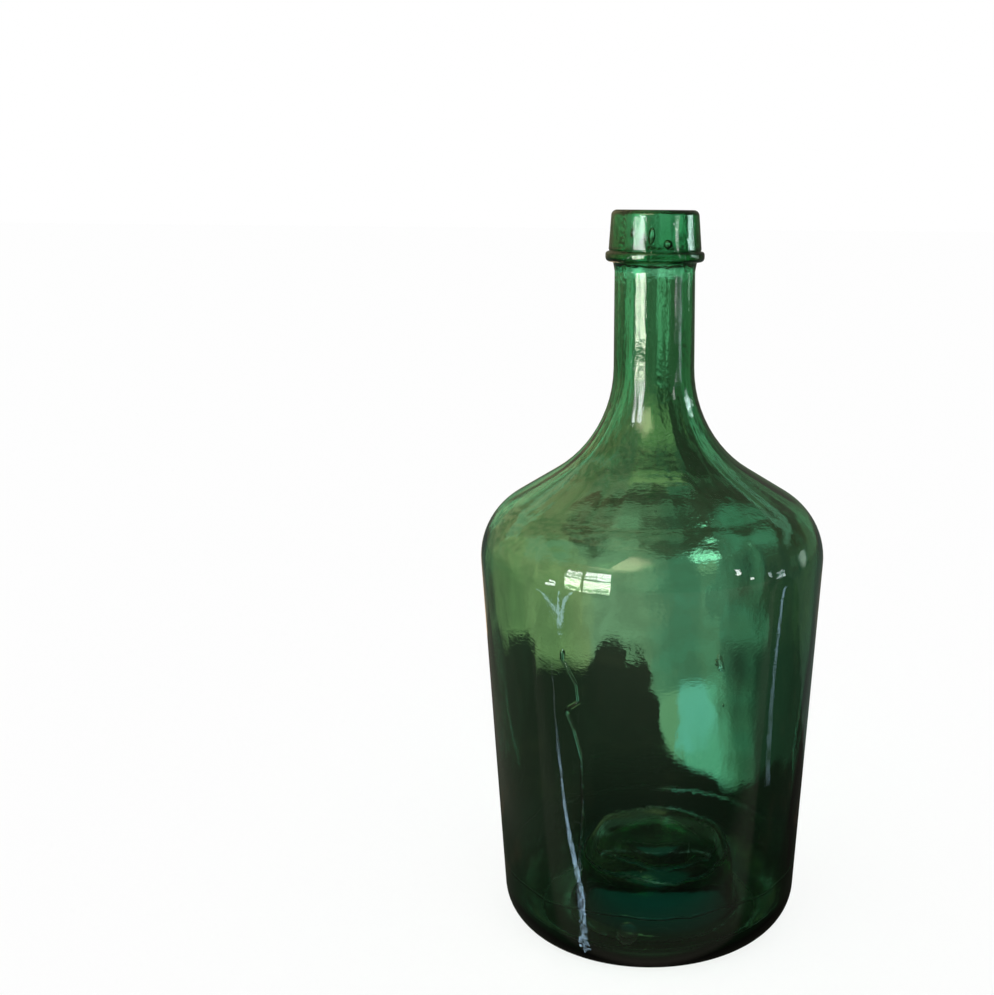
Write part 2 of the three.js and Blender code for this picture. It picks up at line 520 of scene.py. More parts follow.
def wander(piece):
    """Moves every vertex of the glass by the waves and by the push-up's drift and sag."""
    mesh = piece.data
    places = np.empty(len(mesh.vertices) * 3)
    mesh.vertices.foreach_get("co", places)
    x, y, z = places.reshape(-1, 3).T
    angle, radius = np.arctan2(y, x), np.hypot(x, y)
    scale = 1 + wall_moves(angle, radius, z) * MM / np.maximum(radius, MM)
    drift, sag = push_up_moves(radius, z)
    places = np.stack([x * scale + drift, y * scale, z - sag], axis=1)
    mesh.vertices.foreach_set("co", places.ravel())
    mesh.update()


wander(bottle)
report(bottle)

# %% [markdown]
# ## Bubbles
# Hand-blown glass holds seeds, bubbles the size of a pinhead, and a few larger blisters, drawn
# out by the working. A bubble is a hole in the glass, so its little shell is turned inside out:
# its faces point out of the glass, into the air that it holds. One is modelled, then copied,
# stretched and turned for each place.

# %% One bubble, and its copies
bpy.ops.object.select_all(action="DESELECT")
bpy.ops.mesh.primitive_uv_sphere_add(segments=14, ring_count=8, radius=MM / 2)
first_shell = bpy.context.object
first_shell.name = "bubble"
bpy.ops.object.mode_set(mode="EDIT")
bpy.ops.mesh.select_all(action="SELECT")
bpy.ops.mesh.flip_normals()
bpy.ops.object.mode_set(mode="OBJECT")
report(first_shell)


def bubble(place, width, height, lean=0.0, thickness=0.6):
    """A closed shell of air, width and height in mm, thickness as a share of the width."""
    shell = bpy.data.objects.new("bubble", first_shell.data.copy())
    bpy.context.collection.objects.link(shell)
    stretch = Matrix.Diagonal((width, width * thickness, height, 1))
    turn = Matrix.Rotation(math.atan2(place[0], -place[1]), 4, "Z") @ Matrix.Rotation(lean, 4, "Y")
    shell.data.transform(Matrix.Translation(Vector(place) * MM) @ turn @ stretch)
    return shell


def on_glass(right, level, radius):
    """A place in the glass, from degrees to the right of the camera's side, and two measures in mm."""
    side = math.radians(right)
    return radius * math.sin(side), -radius * math.cos(side), level


# %% Blisters in the collar
COLLAR_BUBBLES = [  # degrees to the right, level, distance from the axis, width, height, lean
    (-17, 373.6, 19.6, 4.0, 2.8, 0.5),
    (-5, 377.0, 19.4, 3.4, 8.6, 0.1),
    (18, 373.0, 19.8, 4.6, 4.6, 0.0),
    (-33, 378.5, 19.6, 2.2, 5.0, 0.15),
    (40, 371.8, 20.0, 1.6, 1.6, 0.0),
    (118, 375.0, 19.6, 3.0, 5.6, -0.2),
    (203, 374.0, 19.6, 3.6, 3.2, 0.3),
    (265, 378.0, 19.4, 2.4, 7.0, 0.0),
]
bubbles = [
    bubble(on_glass(right, level, radius), wide, tall, lean)
    for right, level, radius, wide, tall, lean in COLLAR_BUBBLES
]
print(len(bubbles), "blisters in the collar")

# %% Blisters in the wall
WALL_BLISTERS = [  # the same, and thickness
    (-7.9, 27.5, 79.5, 10.5, 14.0, 0.25, 0.11),
    (-12.0, 71.4, 82.2, 1.5, 1.8, 0.0, 0.6),
    (-12.7, 68.5, 82.0, 1.1, 1.1, 0.0, 0.6),
    (-2.9, 63.5, 81.8, 1.2, 1.6, 0.0, 0.6),
    (28.7, 262.6, 38.4, 1.3, 1.6, 0.4, 0.6),
    (1.3, 245.0, 63.2, 1.2, 1.6, 0.0, 0.6),
    (-30.9, 166.2, 88.0, 0.9, 2.4, 0.0, 0.6),
    (24.0, 152.0, 87.2, 0.9, 1.8, 0.0, 0.6),
    (150.0, 120.0, 85.4, 6.0, 11.0, 0.3, 0.18),
]
bubbles += [
    bubble(on_glass(right, level, radius), wide, tall, lean, thickness)
    for right, level, radius, wide, tall, lean, thickness in WALL_BLISTERS
]
print(len(bubbles), "blisters in all")

# %% [markdown]
# ### Seeds
# The small bubbles are too many to place by hand, and real ones keep to no rule. Points scattered
# in space would mostly miss the thin wall. So vertices of the outer face are drawn by lot, in the
# same order at every run, and each seed sits a little below its vertex.

# %% Seeds, scattered through the wall
SEEDS = 70
SEED_DEPTH = 1.7  # mm below the outer face
SEED_WIDTHS = (0.3, 0.75)  # mm
SEED_STRETCH = (1, 2.6)  # height over width
SEED_LEVELS = (24, 366)  # mm, between the heel and the collar


def outer_places(piece, low, high):
    """Vertices of the outer face between two heights, with the way into the glass."""
    found = []
    for vertex in piece.data.vertices:
        place = vertex.co / MM
        radius = math.hypot(place.x, place.y)
        if low < place.z < high and radius > middle_of_wall(np.array([vertex.co.z]))[0] / MM:
            found.append((place.copy(), -vertex.normal))
    return found


candidates = outer_places(bottle, *SEED_LEVELS)
for _ in range(SEEDS):
    place, inwards = random.choice(candidates)
    size = random.uniform(*SEED_WIDTHS)
    bubbles.append(bubble(place + inwards * SEED_DEPTH, size, size * random.uniform(*SEED_STRETCH)))
print(SEEDS, "seeds below", len(candidates), "vertices")

# %% [markdown]
# ### One piece of glass
# A bubble is part of the glass round it, so every shell is joined to the bottle before the glass
# gets its material. Smooth shading then hides the faces of all that is round, and an edge steeper
# than 40 degrees would stay sharp.

# %% Join them
SHARP_FROM = math.radians(40)
bpy.data.objects.remove(first_shell)
bpy.ops.object.select_all(action="DESELECT")
for shell in bubbles:
    shell.select_set(True)
bottle.select_set(True)
bpy.context.view_layer.objects.active = bottle
bpy.ops.object.join()
bpy.ops.object.select_all(action="DESELECT")
bottle.select_set(True)
bpy.context.view_layer.objects.active = bottle
bpy.ops.object.shade_smooth_by_angle(angle=SHARP_FROM)
report(bottle)

# %% [markdown]
# ## Green glass
# Bottle glass is green from the iron in its sand, and it is the depth of glass that makes the
# colour, not its skin: thin walls look pale, the heel and the push-up look dark. A green skin
# would be equally dark all over. So the skin is clear, and the colour is an absorption inside it.
# Red is taken most, then blue, and green least.

# %% What the glass takes from the light
ABSORBED = (265.0, 131.0, 202.0)  # of red, green and blue, to the metre
DENSITY = max(ABSORBED) * 1.25  # more than any of them, so that each share stays below 1
GLASS_IOR = 1.52


def green_depth(graph):
    """The inside of the glass: of each colour it takes density times what the node's colour lacks."""
    clear = [1 - share / DENSITY for share in ABSORBED]
    return graph.node("VolumeAbsorption", values={"Color": (*clear, 1), "Density": DENSITY})


print("light left after 10 mm:", [round(math.exp(-share * 10 * MM), 3) for share in ABSORBED])

# %% [markdown]
# ### Marks of use
# Years leave a haze of dust, fine upright streaks, a dried tide line inside, and a scuffed ring
# where the bottle stood. None of them has a colour that shows on green glass, but all of them
# scatter light, so they are masks that feed the roughness. Each is a band by height or radius,
# broken up by noise.

# %% Dust, streaks, tide line and scuffs
TIDE_HEIGHT = 37.0  # mm
TIDE_SWAY = 9.0
DUST_ROUGHNESS = 0.035
STREAK_ROUGHNESS = 0.03
TIDE_ROUGHNESS = 0.4
SCUFF_ROUGHNESS = 0.45


def marks_of_use(graph, where):
    """How rough the skin is, and the tide line by itself, which also stands up a little."""
    x, y, height = graph.axes(where)
    radius = (x * x + y * y).root()
    scuffed = height.step(1.2 * MM, 0.2 * MM) * radius.step(44 * MM, 47 * MM) * radius.step(62 * MM, 59 * MM)
    low_dirt = height.step(75 * MM, 20 * MM) * 0.14
    specks = graph.noise(where, 60, 5).step(0.45, 0.7)
    dust = graph.noise(where, 26, 4).step(0.5, 0.78) + specks * low_dirt * 5
    streaks = graph.noise(where, 90, 3, (1, 1, 0.12)).step(0.56, 0.74)
    wavy_height = height + (graph.noise(where, 30, 3) - 0.5) * TIDE_SWAY * MM
    inside = radius.step(79 * MM, 77 * MM)
    tide = (wavy_height - TIDE_HEIGHT * MM).size().step(0.9 * MM, 0.3 * MM) * inside
    roughness = dust * DUST_ROUGHNESS + streaks * STREAK_ROUGHNESS
    return roughness + tide * TIDE_ROUGHNESS + scuffed * SCUFF_ROUGHNESS, tide


# %% [markdown]
# ### A thread down the front
# A thread of stiffer glass lies in the front wall and bends in the middle of its way. It could be
# a thin raised tube, but it has no edge that a finger would feel. So a Float Curve draws where it
# runs, and what is near that line stands up in the relief.

# %% The thread
THREAD_MIDDLE = 0.12
THREAD_ZOOM = 4  # it is drawn larger than it is, because the curve's node keeps only 256 steps
THREAD = [  # height and place to the right of the axis, in metres
    (0.068, -0.0350), (0.092, -0.0330), (0.123, -0.0337), (0.138, -0.0376), (0.146, -0.0412),
    (0.149, -0.0400), (0.153, -0.0354), (0.162, -0.0363), (0.174, -0.0431),
]


def curve(graph, value, points):
    """The height of a drawn curve above a value. Both lie within 0.5 of zero."""
    moved = [(x + 0.5, y + 0.5) for x, y in points]
    return graph.node("FloatCurve", {"points": moved}, {"Value": value + 0.5}) - 0.5


def thread_down_the_front(graph, where):
    """1 on the thread, 0 beside it, above and below it and on the back."""
    x, y, height = graph.axes(where)
    route = [((z - THREAD_MIDDLE) * THREAD_ZOOM, place * THREAD_ZOOM) for z, place in THREAD]
    off = x - curve(graph, (height - THREAD_MIDDLE) * THREAD_ZOOM, route) / THREAD_ZOOM
    thread = off.size().step(1.1 * MM, 0.2 * MM) * y.step(0, -0.01) * height.step(0.060, 0.068)
    return thread * height.step(0.180, 0.174)


print("thread from", THREAD[0][0], "to", THREAD[-1][0], "m")

# %% [markdown]
# ### The relief of the skin
# The mould left soft upright waves, the turning of the neck left drawn lines, and cooling left
# rolled ripples on the shoulder and pimples on the neck. They are too fine for vertices, so they
# are a Bump, which tilts the light as a real relief would.

# %% The skin's relief
RELIEF = 0.5 * MM
RELIEF_STRENGTH = 0.4
LINE_RELIEF = 2.5  # how far tide line and thread stand out of the rest


def skin_relief(graph, where):
    """The height of the relief, where noise runs from 0 to 1. Each line is one kind of mark."""
    x, y, height = graph.axes(where)
    radius = (x * x + y * y).root()
    on_shoulder = height.step(205 * MM, 235 * MM) * height.step(285 * MM, 262 * MM)
    on_neck = height.step(262 * MM, 290 * MM)
    at_lip = height.step(355 * MM, 366 * MM)
    off_push_up = 1 - radius.step(64 * MM, 54 * MM) * height.step(60 * MM, 52 * MM)
    skin = graph.noise(where, 55, 3, (1, 1, 0.35)) * 0.6 + graph.noise(where, 420, 2) * 0.06
    rolled = graph.noise(where, 420, 3, (0.12, 0.12, 1)) * (on_shoulder * 0.085 + 0.015)
    grain = graph.noise(where, 900, 2, (0.5, 0.5, 1)) * 0.08
    drawn = graph.noise(where, 300, 2, (1, 1, 0.10)) * on_neck * 0.40
    pimples = graph.noise(where, 480, 3, (1, 1, 0.6)) * on_neck * 0.60
    pimples = pimples + graph.noise(where, 700, 2) * at_lip * 0.42
    return skin * off_push_up + rolled + grain + drawn + pimples


# %% The glass
def green_glass():
    """A clear skin with its marks and relief over a green depth."""
    material = bpy.data.materials.new("green_glass")
    graph = Graph(material)
    where = graph.node("TexCoord", output="Object")
    roughness, tide = marks_of_use(graph, where)
    relief = skin_relief(graph, where) + tide * LINE_RELIEF
    relief = relief + thread_down_the_front(graph, where) * LINE_RELIEF
    bump = graph.node("Bump", values={"Strength": RELIEF_STRENGTH, "Distance": RELIEF, "Height": relief})
    skin = graph.node("BsdfPrincipled", values={
        "Base Color": (1, 1, 1, 1),
        "Roughness": roughness,
        "IOR": GLASS_IOR,
        "Transmission Weight": 1.0,
        "Normal": bump,
    })
    graph.node("OutputMaterial", values={"Surface": skin, "Volume": green_depth(graph)})
    return material


bottle.data.materials.clear()
bottle.data.materials.append(green_glass())
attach(bottle, "root")
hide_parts("vessel", "lip_collar", "string_ring")
print("the glass has", len(bottle.data.materials[0].node_tree.nodes), "nodes")

# %% [markdown]
# ## Studio
# Glass is seen by what it bends and mirrors. A photographer stands dark cards and cloths round a
# bottle, out of the picture, so that its edges come out dark and its colour deep, and lets a
# window glint on its shoulder. The same is done here with cards that the camera can't see. The
# floor and the world behind them stay pale.

# %% The floor
FLOOR_COLOUR = (0.97, 0.97, 0.97, 1)
FLOOR_SIZE = 60
FLOOR_DROP = 0.2 * MM  # below the glass, so that no two faces share a place


def matt(name, colour):
    """Paint with no shine."""
    material = bpy.data.materials.new(name)
    graph = Graph(material)
    shader = graph.node("BsdfDiffuse", values={"Color": colour})
    graph.node("OutputMaterial", values={"Surface": shader})
    return material


bpy.ops.object.select_all(action="DESELECT")
bpy.ops.mesh.primitive_plane_add(size=FLOOR_SIZE, location=(0, 0, -FLOOR_DROP))
floor = bpy.context.object
floor.name = "floor"
floor.data.materials.append(matt("pale_floor", FLOOR_COLOUR))
print("floor", FLOOR_SIZE, "m wide")

# %% [markdown]
# ### World
# The background is plain white wherever it is seen: by the camera, in a mirror or through glass.
# As strong a light from all sides would leave matt things without a shadow, so they get a sixth
# of it. A Light Path node tells which kind of ray is asking.

# %% The world
SKY_ON_THINGS = 0.16  # what the pale surroundings add to matt surfaces

world = bpy.data.worlds.new("studio")
bpy.context.scene.world = world
sky = Graph(world)
by_camera, by_mirror, through_glass = [
    sky.node("LightPath", output=ray) for ray in ("Is Camera Ray", "Is Glossy Ray", "Is Transmission Ray")
]
strength = by_camera.larger(by_mirror).larger(through_glass) * (1 - SKY_ON_THINGS) + SKY_ON_THINGS
background = sky.node("Background", values={"Color": (1, 1, 1, 1), "Strength": strength})
sky.node("OutputWorld", values={"Surface": background})
print("world of", len(sky.tree.nodes), "nodes")

# %% [markdown]
# ### Lamp
# The floor needs light, but no shadow should show beside the bottle. An area lamp near by would
# leave a bright pool on the floor, and a sun lights all of it alike. This one is soft and stands
# low over the camera, so that the shadow falls behind the bottle. It is hidden from mirrors,
# where it would be a spot of light that the real bottle hasn't got.

# %% The lamp
FLOOR_LIGHT = 1.02  # all the light on the floor, where 1 shows white paint as white
LAMP_RISE = math.radians(26)
LAMP_SOFTNESS = math.radians(14)

lamp_data = bpy.data.lights.new("soft_lamp", "SUN")
lamp_data.angle = LAMP_SOFTNESS
lamp_data.energy = (FLOOR_LIGHT - SKY_ON_THINGS) * math.pi / math.sin(LAMP_RISE)
lamp = bpy.data.objects.new("soft_lamp", lamp_data)
bpy.context.scene.collection.objects.link(lamp)
to_lamp = Vector((0, -math.cos(LAMP_RISE), math.sin(LAMP_RISE)))
lamp.rotation_euler = to_lamp.to_track_quat("Z", "Y").to_euler()
lamp.visible_glossy = False
print("lamp energy", round(lamp_data.energy, 2))

# %% [markdown]
# ### Cards and cloths
# A studio card is paper with a lamp on it. Here the paper itself glows, which takes no lamp, and
# its brightness stays the same wherever it is moved. Its pattern is worked out from the place in
# metres, so that a streak on it can be sized like a thing. Each card is hidden from the camera
# and from matt things, and shows in mirrors, through the glass, or both.


# %% Cards and cloths that only the glass sees
def glowing(name, colour, strength=1.0):
    """A cloth or card that glows evenly, and lights nothing else. Its colour may be a pattern."""
    material = bpy.data.materials.new(name)
    material.cycles.emission_sampling = "NONE"
    graph = Graph(material)
    if callable(colour):
        colour = colour(graph)
    shader = graph.node("Emission", values={"Color": colour, "Strength": strength})
    graph.node("OutputMaterial", values={"Surface": shader})
    return material


def stand(card, name, material, mirrored=True, seen_through=True):
    """Sets a card up for the glass alone, with its place in its mesh, so that patterns are in metres."""
    bpy.ops.object.transform_apply()
    card.name = name
    card.data.materials.append(material)
    card.visible_camera = False
    card.visible_diffuse = False
    card.visible_shadow = False
    card.visible_glossy = mirrored
    card.visible_transmission = seen_through
    print(name, "stands, in size", [round(side, 3) for side in card.dimensions])


# %% [markdown]
# ### The dark cloth
# The lower half of the glass is dark, with a ragged upper edge and a bright gap right of the
# middle: that is the table and what lies beyond it, bent by the glass. A photograph of a room
# could stand in for it, but it would bring its own grain and needs a file. A pattern drawn with
# curves and noise can be moved by a centimetre until each patch falls where it should.

# %% Colours that run into each other
MIX_SHARE, MIX_FIRST, MIX_SECOND, MIX_RESULT = 0, 6, 7, 2  # the Mix node's sockets for colours


def mix(graph, share, first, second):
    """One colour into another."""
    inputs = {MIX_SHARE: share, MIX_FIRST: first, MIX_SECOND: second}
    return graph.node("Mix", {"data_type": "RGBA"}, inputs, output=MIX_RESULT)


def spot(across, up, middle, size):
    """1 in the middle of a soft oval, 0 outside it."""
    x, y = (across - middle[0]) / size[0], (up - middle[1]) / size[1]
    return (x * x + y * y).root().step(1, 0.35)


# %% The garden, as the glass shows it
WARM = (1.25, 0.88, 0.54, 1)
MIDDLE = (0.86, 0.80, 0.64, 1)
COOL = (0.31, 0.54, 0.45, 1)
COOL_DARK = (0.09, 0.12, 0.10, 1)
OLIVE = (0.80, 0.86, 0.66, 1)
SHADE = (0.28, 0.25, 0.17, 1)


def garden(graph, where, x):
    """Warm light on the left, a paler middle, cool shade on the right, in soft upright streaks."""
    clouds = graph.noise(where, 11, 3, (1, 0.35, 0.5)) - 0.5
    streaks = graph.noise(where, 70, 2, (1, 0.06, 0.12)) - 0.5
    across = x + clouds * 0.07 + streaks * 0.02
    light = mix(graph, across.step(-0.10, -0.055), WARM, MIDDLE)
    light = mix(graph, across.step(-0.012, 0.022), light, COOL)
    light = mix(graph, across.step(0.034, 0.046) * across.step(0.075, 0.058) * 0.3, light, OLIVE)
    light = mix(graph, across.step(0.095, 0.135), light, COOL_DARK)
    mottled = graph.noise(where, 38, 5, (1, 0.5, 0.8)).step(0.66, 0.40) * 0.38
    light = mix(graph, mottled, light, SHADE)
    return mix(graph, x.size().step(0.26, 0.45), light, COOL_DARK)


# %% The dark cloth that the bottle stands on
CLOTH_RADIUS = 2.4
CLOTH_DROP = 0.1 * MM
CLOTH_EDGE = [  # how far behind the bottle the dark part ends, from left to right, in metres
    (-0.20, 0.47), (-0.15, 0.478), (-0.125, 0.445), (-0.0945, 0.405), (-0.060, 0.415),
    (-0.0527, 0.46), (-0.034, 0.478), (-0.0142, 0.445), (-0.0092, 0.39), (0.004, 0.335),
    (0.0065, 0.24), (0.0195, 0.215), (0.032, 0.19), (0.0545, 0.168), (0.08, 0.165), (0.11, 0.20),
    (0.20, 0.20),
]
DARK_LEFT = (0.040, 0.044, 0.034, 1)
DARK_RIGHT = (0.032, 0.034, 0.027, 1)
BROWNISH = (0.10, 0.07, 0.05, 1)
# painted light: the teal glow of light that has come through the green base, on the cloth under the push-up
PAINTED_TEAL_GLOW = (0.015, 0.10, 0.13, 1)
FRONT = (0.27, 0.23, 0.20, 1)
DARKER = (0.018, 0.018, 0.014, 1)
TURQUOISE = (0.66, 1.05, 0.96, 1)
BRIGHT = (0.85, 1.35, 1.60, 1)


def bright_gap(graph, where, across, y, ragged):
    """Where the gap is, and its colours: olive on the left, turquoise on the right, torn bright shreds."""
    gap = across.step(0.000, 0.012) * across.step(0.070, 0.052) * (y + ragged * 2.5).step(0.40, 0.33)
    colour = mix(graph, across.step(0.020, 0.030), OLIVE, TURQUOISE)
    torn = (graph.noise(where, 45, 5, (1, 0.3, 1)) - 0.5) * 0.045
    bright = (across + torn).step(0.0235, 0.0255) * (across + torn).step(0.054, 0.050)
    bright = bright * (y + torn * 3).step(0.215, 0.25) * (y + torn * 3).step(0.385, 0.35)
    return gap, mix(graph, bright * (0.55 + torn * 22).smaller(1), colour, BRIGHT)


def near_cloth(graph, where, x, y):
    """The cloth round the bottle: blotched, darkest round the foot, with a painted teal glow under the
    push-up, greyer towards the camera.
    """
    blotches = graph.noise(where, 16, 4)
    near = mix(graph, (x + blotches * 0.1).step(-0.07, 0.13), DARK_LEFT, DARK_RIGHT)
    near = mix(graph, blotches.step(0.52, 0.72) * 0.6, near, BROWNISH)
    distance = (x * x + y * y).root()
    near = mix(graph, distance.step(0.24, 0.11) * x.step(-0.09, -0.03), near, DARKER)
    # A painted glow under the push-up, standing in for light that has passed through the base.
    near = mix(graph, spot(x, y, (0.004, 0.040), (0.066, 0.090)), near, PAINTED_TEAL_GLOW)
    near = mix(graph, y.step(-0.12, -0.6).larger(x.step(-0.12, -0.20) * 0.3), near, FRONT)
    return mix(graph, y.step(-0.15, -0.10) * 0.5 * y.step(-0.07, -0.08), near, FRONT)


def cloth_colours(graph):
    """Dark round the bottle, lighter beyond its far edge, with a bright gap right of the middle."""
    where = graph.node("TexCoord", output="Object")
    x, y, _ = graph.axes(where)
    ragged = (graph.noise(where, 22, 4) - 0.5) * 0.07
    edge = curve(graph, x + ragged * 0.25, CLOTH_EDGE)
    beyond = (y - edge + ragged).step(-0.010, 0.012)
    across = x + ragged * 0.3
    light = garden(graph, where, x)
    light = mix(graph, across.step(0.062, 0.098) * y.step(0.50, 0.42), light, COOL_DARK)
    light = mix(graph, x.step(-0.205, -0.26) * 0.8, light, COOL_DARK)
    gap, gap_colour = bright_gap(graph, where, across, y, ragged)
    light = mix(graph, gap, light, gap_colour)
    return mix(graph, beyond, near_cloth(graph, where, x, y), light)


bpy.ops.object.select_all(action="DESELECT")
bpy.ops.mesh.primitive_circle_add(
    vertices=96, radius=CLOTH_RADIUS, fill_type="NGON", location=(0, 0, -CLOTH_DROP),
)
stand(bpy.context.object, "dark_cloth", glowing("dark_cloth", cloth_colours))

# %% [markdown]
# ### The backcloth
# Above the table the glass shows a garden: bright leaves low down, brown shade behind the
# shoulder, light and dark trunks behind the neck. A garden at its true distance would be large
# and hard to place. This cloth hangs near by, where a patch can be moved by a centimetre, and it
# is kept out of mirrors, which show what is in front.

# %% Its colours and patches
BACKCLOTH_FAR = 0.62
BACKCLOTH_WIDTH = 3.2
BACKCLOTH_HEIGHT = 0.46
BROWN = (0.11, 0.08, 0.05, 1)
LEAF_GAP = (1.9, 2.5, 2.3, 1)
TRUNK = (0.26, 0.22, 0.13, 1)
TRUNK_SHADE = (0.13, 0.13, 0.08, 1)
LEAF_LIGHT = (1.7, 2.0, 1.75, 1)
BACKCLOTH_PATCHES = [  # middle and size of each in metres, how much of it shows, and its colour
    ((0.122, 0.100), (0.060, 0.045), 1.0, COOL),
    ((-0.055, 0.126), (0.070, 0.015), 0.95, BROWN),
    ((0.105, 0.160), (0.080, 0.020), 0.95, BROWN),
    ((0.060, 0.122), (0.045, 0.012), 0.8, BROWN),
    ((0.000, 0.180), (0.052, 0.048), 1.0, WARM),
    ((0.010, 0.080), (0.030, 0.014), 0.7, BROWN),
    ((-0.125, 0.066), (0.050, 0.028), 0.8, MIDDLE),
    ((0.061, 0.066), (0.032, 0.024), 1.0, LEAF_GAP),
    ((0.058, 0.044), (0.022, 0.008), 0.9, OLIVE),
]
TRUNK_LIGHT = [  # how light it is between the trunks behind the neck, from left to right
    (-0.50, 0.08), (-0.40, 0.15), (-0.33, 0.48), (-0.25, 0.48), (-0.17, 0.20), (-0.07, 0.15),
    (-0.02, 0.07), (0.02, 0.07), (0.034, 0.40), (0.052, 0.46), (0.072, 0.10), (0.14, 0.05),
    (0.25, 0.07), (0.34, 0.16), (0.45, 0.26), (0.50, 0.16),
]
print(len(BACKCLOTH_PATCHES), "patches")


# %% The cloth hung behind the bottle
def backcloth_colours(graph):
    """The garden again, brown shade above it, and light and dark trunks behind the neck."""
    where = graph.node("TexCoord", output="Object")
    x, _, z = graph.axes(where)
    clouds = graph.noise(where, 14, 4, (1, 1, 1.6))
    fine = graph.noise(where, 45, 4, (0.6, 1, 1.8))
    light = garden(graph, where, x)
    band = (z + clouds * 0.04).step(0.085, 0.115)
    light = mix(graph, band * 0.45, light, SHADE)
    patches = (clouds * 0.6 + fine * 0.4 + x * 0.8).step(0.47, 0.55)
    light = mix(graph, patches * band * 0.85, light, BROWN)
    ragged = (fine - 0.5) * 0.03
    for middle, size, share, colour in BACKCLOTH_PATCHES:
        patch = spot(x + ragged, z + ragged * 0.5, middle, size) * share
        light = mix(graph, patch, light, colour)
    sway = (graph.noise(where, 24, 4, (1, 1, 0.35)) - 0.5) * 0.05
    trunks = curve(graph, x + sway, TRUNK_LIGHT) * 2 * ((fine - 0.5) * 0.8 + 0.9)
    neck_light = mix(graph, trunks, TRUNK, LEAF_LIGHT)
    neck_light = mix(graph, z.step(0.332, 0.340) * x.size().step(0.16, 0.12), neck_light, TRUNK_SHADE)
    low = z + clouds * 0.04 - x.size().step(0.16, 0.10) * 0.05
    return mix(graph, low.step(0.195, 0.225), light, neck_light)


def hang(name, far, middle, width, height, colours):
    """An upright cloth behind the bottle, seen through the glass but in no mirror."""
    bpy.ops.object.select_all(action="DESELECT")
    bpy.ops.mesh.primitive_plane_add(size=1, location=(0, far, middle), rotation=(math.pi / 2, 0, 0))
    bpy.context.object.scale = (width, height, 1)
    stand(bpy.context.object, name, glowing(name, colours), mirrored=False)


hang("backcloth", BACKCLOTH_FAR, BACKCLOTH_HEIGHT / 2, BACKCLOTH_WIDTH, BACKCLOTH_HEIGHT, backcloth_colours)

# %% [markdown]
# ### The lip cloth
# The collar is the thickest glass, and it would be nearly black in front of the backcloth. In
# the real one the open sky shines through. So a strip of much brighter cloth hangs close behind
# it, too high for the neck and the body to show.

# %% A bright cloth close behind the lip
LIP_CLOTH_FAR = 0.15
LIP_CLOTH_MIDDLE = 0.376
LIP_CLOTH_WIDTH = 0.90
LIP_CLOTH_HEIGHT = 0.052
LIP_CLOTH_LIGHT = [  # how light it is, from left to right
    (-0.50, 0.45), (-0.30, 0.35), (-0.20, 0.48), (-0.12, 0.22), (-0.085, 0.30), (-0.060, 0.05),
    (-0.050, 0.50), (-0.024, 0.50), (-0.012, 0.10), (0.006, 0.22), (0.024, 0.30), (0.040, 0.08),
    (0.070, 0.42), (0.12, 0.24), (0.20, 0.45), (0.50, 0.3),
]
LIP_LIGHT = (4.0, 3.8, 4.3, 1)


def lip_cloth_colours(graph):
    """Upright stripes of sky between trunks."""
    where = graph.node("TexCoord", output="Object")
    x = graph.axes(where)[0]
    sway = (graph.noise(where, 60, 3, (1, 1, 0.3)) - 0.5) * 0.02
    patchy = graph.noise(where, 90, 3, (1, 1, 0.6)) + 0.5
    return mix(graph, curve(graph, x + sway, LIP_CLOTH_LIGHT) * 2 * patchy, TRUNK, LIP_LIGHT)


hang("lip_cloth", LIP_CLOTH_FAR, LIP_CLOTH_MIDDLE, LIP_CLOTH_WIDTH, LIP_CLOTH_HEIGHT, lip_cloth_colours)

# %% [markdown]
# ### The tent
# All that no card covers is the room: dim at the table, a little paler overhead, with one lamp's
# glow. Plain white there would fill the edges of the glass with light and lose the dark rim. A
# large ball of cloth round everything gives every ray something to meet.

# %% A dim tent all round
TENT_RADIUS = 2.4
TENT_LOW = (0.12, 0.13, 0.10, 1)
TENT_LEFT = (0.85, 0.80, 0.42, 1)
TENT_RIGHT = (0.20, 0.21, 0.16, 1)
GLOW = (5.2, 4.9, 3.0, 1)
GLOW_PLACE = (-0.78, -1.68, 1.52)  # a lamp's glow on the cloth overhead
GLOW_REACH = (0.95, 0.7, 0.52)


def tent_colours(graph):
    """Dark at the table, paler overhead and to the left, blotched like leaves."""
    where = graph.node("TexCoord", output="Object")
    x, y, z = graph.axes(where)
    leaves = graph.noise(where, 1.7, 6) - 0.5
    blotches = graph.noise(where, 5.5, 5).step(0.38, 0.62)
    overhead = (z - x * 0.25 + leaves * 1.2).step(0.15, 1.5)
    top = mix(graph, (x + leaves * 3.0).step(-1.1, 0.5), TENT_LEFT, TENT_RIGHT)
    light = mix(graph, overhead * (blotches * 0.7 + 0.3), TENT_LOW, top)
    off = [(value - middle) / reach for value, middle, reach in zip((x, y, z), GLOW_PLACE, GLOW_REACH)]
    glow = (off[0] * off[0] + off[1] * off[1] + off[2] * off[2]).root() + leaves * 0.9
    return mix(graph, glow.step(1.0, 0.35), light, GLOW)


bpy.ops.object.select_all(action="DESELECT")
bpy.ops.mesh.primitive_uv_sphere_add(segments=48, ring_count=24, radius=TENT_RADIUS)
stand(bpy.context.object, "tent", glowing("tent", tent_colours))

# %% [markdown]
# ### Windows
# The glints on the left of the shoulder are a window with glazing bars, and those on the right
# are smaller gaps between leaves. A lamp would light the floor too, and a glowing card doesn't,
# and its pattern can hold panes, bars and leaves. The cards show in mirrors alone, since seen
# through the glass they would be bright patches that the real bottle hasn't got.

